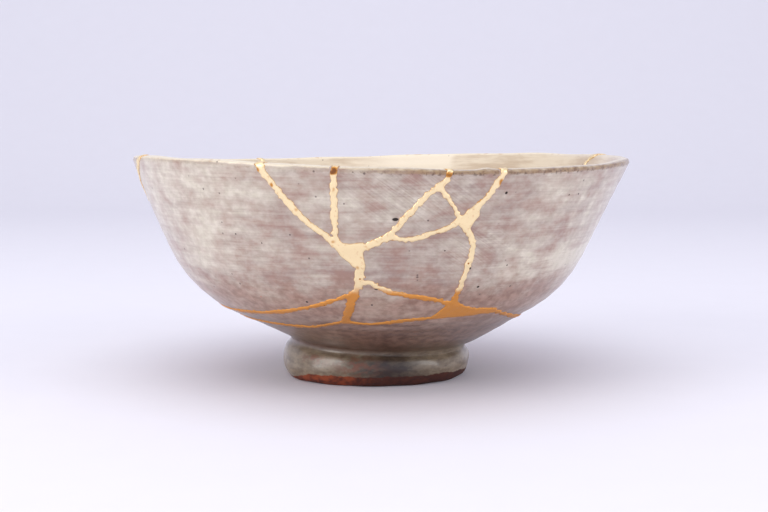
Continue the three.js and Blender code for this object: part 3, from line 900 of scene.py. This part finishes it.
dusted = bpy.data.materials.new("gold_dust_on_lacquer")
dusted.use_nodes = True
tree = dusted.node_tree
tree.nodes.clear()
objectwise = add("ShaderNodeTexCoord").outputs["Object"]
high = calc("MULTIPLY", add("ShaderNodeSeparateXYZ", {0: objectwise}).outputs["Z"], 1000)
# Painted reflection: the gold is deep orange below a wavering height of about 31 to 33 mm and pale
# cream above it, standing in for the shadowed floor reflected in the lower lines and the bright
# room reflected in the upper ones.
uneven = grain((350, 350, 350), 3)
painted_reflection_level = calc("MULTIPLY_ADD", calc("SUBTRACT", uneven, 0.5), 3.0, high)
metal = tint(ramp(painted_reflection_level, 30.7, 33.4), colour(226, 156, 78), colour(255, 233, 186))
metal = tint(ramp(grain((900, 900, 900), 3), 0.56, 0.72, 0.0, 0.45), metal, colour(222, 168, 104))
thin_edge = ramp(attribute("edge"), 0.20, 0.0, 0, 0.5)
lacquer = calc("MAXIMUM", ramp(attribute("worn"), 0.1, 1.0), thin_edge)
pinholes = calc("MULTIPLY", specks(520, 0.16, 0.20), 0.8)
lacquer = calc("MAXIMUM", lacquer, pinholes)
metal = tint(ramp(lacquer, 0.0, 0.5), metal, colour(206, 142, 62))
metal = tint(ramp(lacquer, 0.5, 1.0), metal, colour(132, 80, 34))
dust = add("ShaderNodeBump", {
    "Height": calc("SUBTRACT", grain((1600, 1600, 1600), 2), pinholes), "Strength": 0.35,
    "Distance": 0.00015})
leaf = add("ShaderNodeBsdfPrincipled", {
    "Base Color": metal, "Metallic": ramp(lacquer, 0, 1, 0.85, 0.35), "Roughness": 0.4,
    "Normal": dust.outputs[0]})
add("ShaderNodeOutputMaterial", {"Surface": leaf.outputs[0]})
gold.data.materials.append(dusted)

# ---------------------------------------------------------------------------------------------
# The stage: a seamless sweep of near-white paper with a faint lavender cast, one large softbox
# overhead, a smaller one low on either side in front, and an even fill from the white room.
bpy.ops.object.select_all(action="DESELECT")
bpy.ops.mesh.primitive_plane_add(size=2.4, location=(0, 0.2, 0))
sweep = bpy.context.object
sweep.name = "paper_sweep"
bpy.ops.object.mode_set(mode="EDIT")
bpy.ops.mesh.select_all(action="DESELECT")
bpy.ops.object.mode_set(mode="OBJECT")
for edge_line in sweep.data.edges:
    edge_line.select = all(sweep.data.vertices[v].co.y > 1.1 for v in edge_line.vertices)
bpy.ops.object.mode_set(mode="EDIT")
bpy.ops.mesh.extrude_region_move(TRANSFORM_OT_translate={"value": (0, 0, 1.8)})
bpy.ops.mesh.select_all(action="SELECT")
bpy.ops.mesh.normals_make_consistent(inside=True)
bpy.ops.object.mode_set(mode="OBJECT")
curl = sweep.modifiers.new("curl", "BEVEL")
curl.width = 0.6
curl.segments = 24
curl.limit_method = "ANGLE"
bpy.ops.object.modifier_apply(modifier=curl.name)
bpy.ops.object.shade_smooth()
paper = bpy.data.materials.new("sweep_paper")
paper.use_nodes = True
tree = paper.node_tree
tree.nodes.clear()
fibres = add("ShaderNodeTexNoise", {
    "Vector": add("ShaderNodeTexCoord").outputs["Object"], "Scale": 60.0}).outputs["Fac"]
sheet = add("ShaderNodeBsdfPrincipled", {
    "Base Color": tint(fibres, colour(236, 235, 243), colour(238, 237, 245)), "Roughness": 0.8,
    "Specular IOR Level": 0.2})
add("ShaderNodeOutputMaterial", {"Surface": sheet.outputs[0]})
sweep.data.materials.append(paper)

world = bpy.data.worlds.new("studio")
bpy.context.scene.world = world
world.use_nodes = True
world.node_tree.nodes["Background"].inputs["Color"].default_value = (0.90, 0.90, 1.0, 1)
world.node_tree.nodes["Background"].inputs["Strength"].default_value = 0.77


def soft_light(name, location, size, power, tone, aim=(0, 0, 0.03)):
    """A square softbox at a place in metres, turned towards the bowl."""
    bpy.ops.object.light_add(type="AREA", location=location)
    light = bpy.context.object
    light.name = name
    light.data.size = size
    light.data.energy = power
    light.data.color = tone
    light.rotation_euler = (Vector(aim) - light.location).to_track_quat("-Z", "Y").to_euler()
    return light


soft_light("overhead_softbox", (-0.1, -0.25, 1.1), 1.1, 4.1, (1.0, 0.985, 0.97))
soft_light("left_softbox", (-0.9, -0.55, 0.42), 0.6, 4.4, (1.0, 0.98, 0.95))
soft_light("right_softbox", (0.95, -0.45, 0.40), 0.6, 3.0, (1.0, 0.98, 0.96))

bpy.context.scene.view_settings.view_transform = "Standard"
bpy.context.scene.view_settings.look = "None"
bpy.context.scene.view_settings.exposure = 0.0
